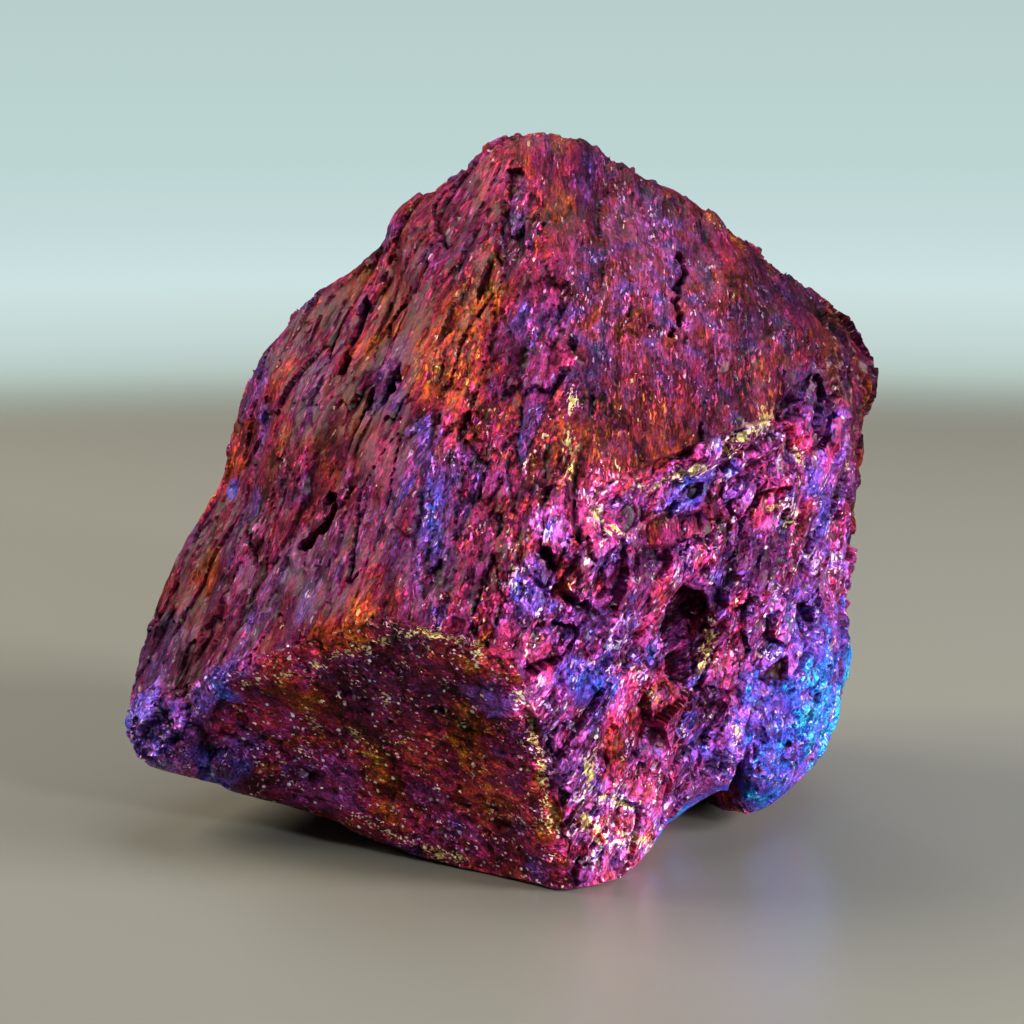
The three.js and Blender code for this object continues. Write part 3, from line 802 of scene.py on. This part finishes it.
    # each facet tilts its own way, and fibres and creases break it up
    normal = add(tree, "NewGeometry").outputs["Normal"]
    tilt = add(tree, "VectorMath", {
        0: facets.outputs["Color"], 1: (0.5, 0.5, 0.5)}, operation="SUBTRACT")
    reach = add(tree, "Math", {0: glitter, 1: 1.0, 2: 0.3}, operation="MULTIPLY_ADD")
    reach = add(tree, "Math", {0: reach, 1: lively}, operation="MULTIPLY")
    tilt = add(tree, "VectorMath", {0: tilt, "Scale": reach}, operation="SCALE")
    tilted = add(tree, "VectorMath", {0: normal, 1: tilt}, operation="ADD")
    tilted = add(tree, "VectorMath", {0: tilted}, operation="NORMALIZE")
    relief = add(tree, "Math", {0: creases, 1: -0.3, 2: fibres}, operation="MULTIPLY_ADD")
    relief = add(tree, "Math", {0: crinkles, 1: -0.35, 2: relief}, operation="MULTIPLY_ADD")
    bump = add(tree, "Bump", {
        "Height": relief, "Strength": 1.0, "Distance": RELIEF * MM, "Normal": tilted})

    # the film is clear, so it adds a faint coat over the metal
    metal = add(tree, "BsdfPrincipled", {
        "Base Color": lit, "Metallic": 1.0, "Roughness": rough, "Normal": bump,
        "Coat Weight": 0.12, "Coat Roughness": 0.3,
    })
    add(tree, "OutputMaterial", {"Surface": metal})
    return material


stone.data.materials.clear()
stone.data.materials.append(tarnished_chalcopyrite())
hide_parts("peacock_ore")
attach(stone, "root")


# ---- floor, light and camera ---------------------------------------------------------
FLOOR_RADIUS = 620  # mm
FLOOR_CORNERS = 96
FLOOR_FADE = (205, 330)  # mm from the middle, where the table's edge blurs into the wall
FLOOR_SQUASH = (0.6, 1.0, 1.0)  # how distances on it count: it reaches further sideways
FLOOR_POLISH_MIDDLE = (12, -30, 0)  # mm, the spot in front of the stone that handling has polished
FLOOR_POLISH = (12, 36)  # mm from that spot, where the polish gives way to the matt table top
FLOOR_GLOSS = 0.7
FLOOR_ROUGHNESS = 0.3


# A painted table top: an even warm grey. Where it is polished it gives a soft mirror image of the
# stone's foot, and further off it is matt.
def table_top():
    material = bpy.data.materials.new("satin_table_top")
    material.use_nodes = True
    tree = material.node_tree
    tree.nodes.clear()
    place = add(tree, "TexCoord").outputs["Object"]
    from_polish = add(tree, "VectorMath", {
        0: place, 1: Vector(FLOOR_POLISH_MIDDLE) * MM}, operation="DISTANCE")
    squashed = add(tree, "VectorMath", {0: place, 1: FLOOR_SQUASH}, operation="MULTIPLY")
    far = add(tree, "VectorMath", {0: squashed}, operation="LENGTH").outputs["Value"]
    fade = add(tree, "MapRange", {
        "Value": far, "From Min": FLOOR_FADE[0] * MM, "From Max": FLOOR_FADE[1] * MM,
    }, interpolation_type="SMOOTHSTEP")
    polish = add(tree, "MapRange", {
        "Value": from_polish.outputs["Value"],
        "From Min": FLOOR_POLISH[0] * MM, "From Max": FLOOR_POLISH[1] * MM,
        "To Min": FLOOR_GLOSS, "To Max": 0.0,
    }, interpolation_type="SMOOTHSTEP")
    satin = add(tree, "BsdfPrincipled", {
        "Base Color": linear("#6e6f69"), "Roughness": FLOOR_ROUGHNESS,
        "Specular IOR Level": polish,
    })
    clear = add(tree, "BsdfTransparent")
    both = add(tree, "MixShader", {0: fade, 1: satin, 2: clear})
    add(tree, "OutputMaterial", {"Surface": both})
    return material


def table():
    turns = [2 * math.pi * step / FLOOR_CORNERS for step in range(FLOOR_CORNERS)]
    reach = FLOOR_RADIUS * MM
    rim = [(reach * math.cos(turn), reach * math.sin(turn), 0.0) for turn in turns]
    top = bpy.data.meshes.new("table_top")
    top.from_pydata(rim, [], [list(range(FLOOR_CORNERS))])
    floor = bpy.data.objects.new("table_top", top)
    bpy.context.scene.collection.objects.link(floor)
    top.materials.append(table_top())
    return floor


table()

LIGHTS_AIM = (0, 0, 25)  # mm, the point in the stone that every light looks at


def soft_light(name, at, width, watts, colour):
    lamp = bpy.data.lights.new(name, "AREA")
    lamp.shape = "RECTANGLE"
    lamp.size, lamp.size_y = (side * MM for side in width)
    lamp.energy = watts
    lamp.color = linear(colour)[:3]
    light = bpy.data.objects.new(name, lamp)
    light.location = Vector(at) * MM
    light.rotation_euler = (Vector(LIGHTS_AIM) - Vector(at)).to_track_quat("-Z", "Y").to_euler()
    bpy.context.scene.collection.objects.link(light)


soft_light("window", (520, -150, 170), (150, 300), 7.5, "#fff4f0")
soft_light("glint_lamp", (300, -330, 200), (60, 60), 1.3, "#ffffff")
soft_light("left_fill", (-435, 80, 370), (300, 300), 5.0, "#fff0d8")
soft_light("top", (60, 120, 460), (360, 260), 1.6, "#f0f8ff")

# The wall is pale where it is seen, and dim as a light, so that the lamps shape the stone. Its
# colours change with the height that the eye looks at, from the table's far edge upwards.
WALL_RISE = (-0.4, 0.6)  # slopes of the lowest and the highest look
world = bpy.data.worlds.new("pale_room")
bpy.context.scene.world = world
world.use_nodes = True
room = world.node_tree
room.nodes.clear()
look = add(room, "TexCoord").outputs["Generated"]
rise = add(room, "SeparateXYZ", {0: look}).outputs["Z"]
band = add(room, "MapRange", {
    "Value": rise, "From Min": WALL_RISE[0], "From Max": WALL_RISE[1]})
wall = add(room, "ValToRGB", {"Fac": band}, stops=[
    (0.0, "#8c9184"), (0.235, "#94998c"), (0.262, "#b5c6bf"), (0.277, "#c3d5d2"),
    (0.307, "#cde3e3"), (0.336, "#c4dada"), (0.366, "#bcd5d3"), (0.44, "#b8cecc"),
    (1.0, "#96afaf")])
dim = add(room, "ValToRGB", {"Fac": band}, stops=[
    (0.0, "#403e3a"), (0.4, "#4c504e"), (0.6, "#4a5052"), (1.0, "#3a4044")])
seen = add(room, "LightPath").outputs["Is Camera Ray"]
shown = add(room, "MixRGB", {"Fac": seen, "Color1": dim, "Color2": wall})
backdrop = add(room, "Background", {"Color": shown, "Strength": 1.0})
add(room, "OutputWorld", {"Surface": backdrop})

CAMERA_AT = (1.0, -190.0, 70.4)  # mm
CAMERA_DIP = 12  # degrees below the horizon
LENS, SENSOR_WIDTH = 70, 36  # mm
lens = bpy.data.cameras.new("camera")
lens.lens = LENS
lens.sensor_width = SENSOR_WIDTH
camera = bpy.data.objects.new("camera", lens)
camera.location = Vector(CAMERA_AT) * MM
camera.rotation_euler = (math.radians(90 - CAMERA_DIP), 0, 0)
bpy.context.scene.collection.objects.link(camera)
bpy.context.scene.camera = camera
bpy.context.scene.view_settings.view_transform = "Standard"
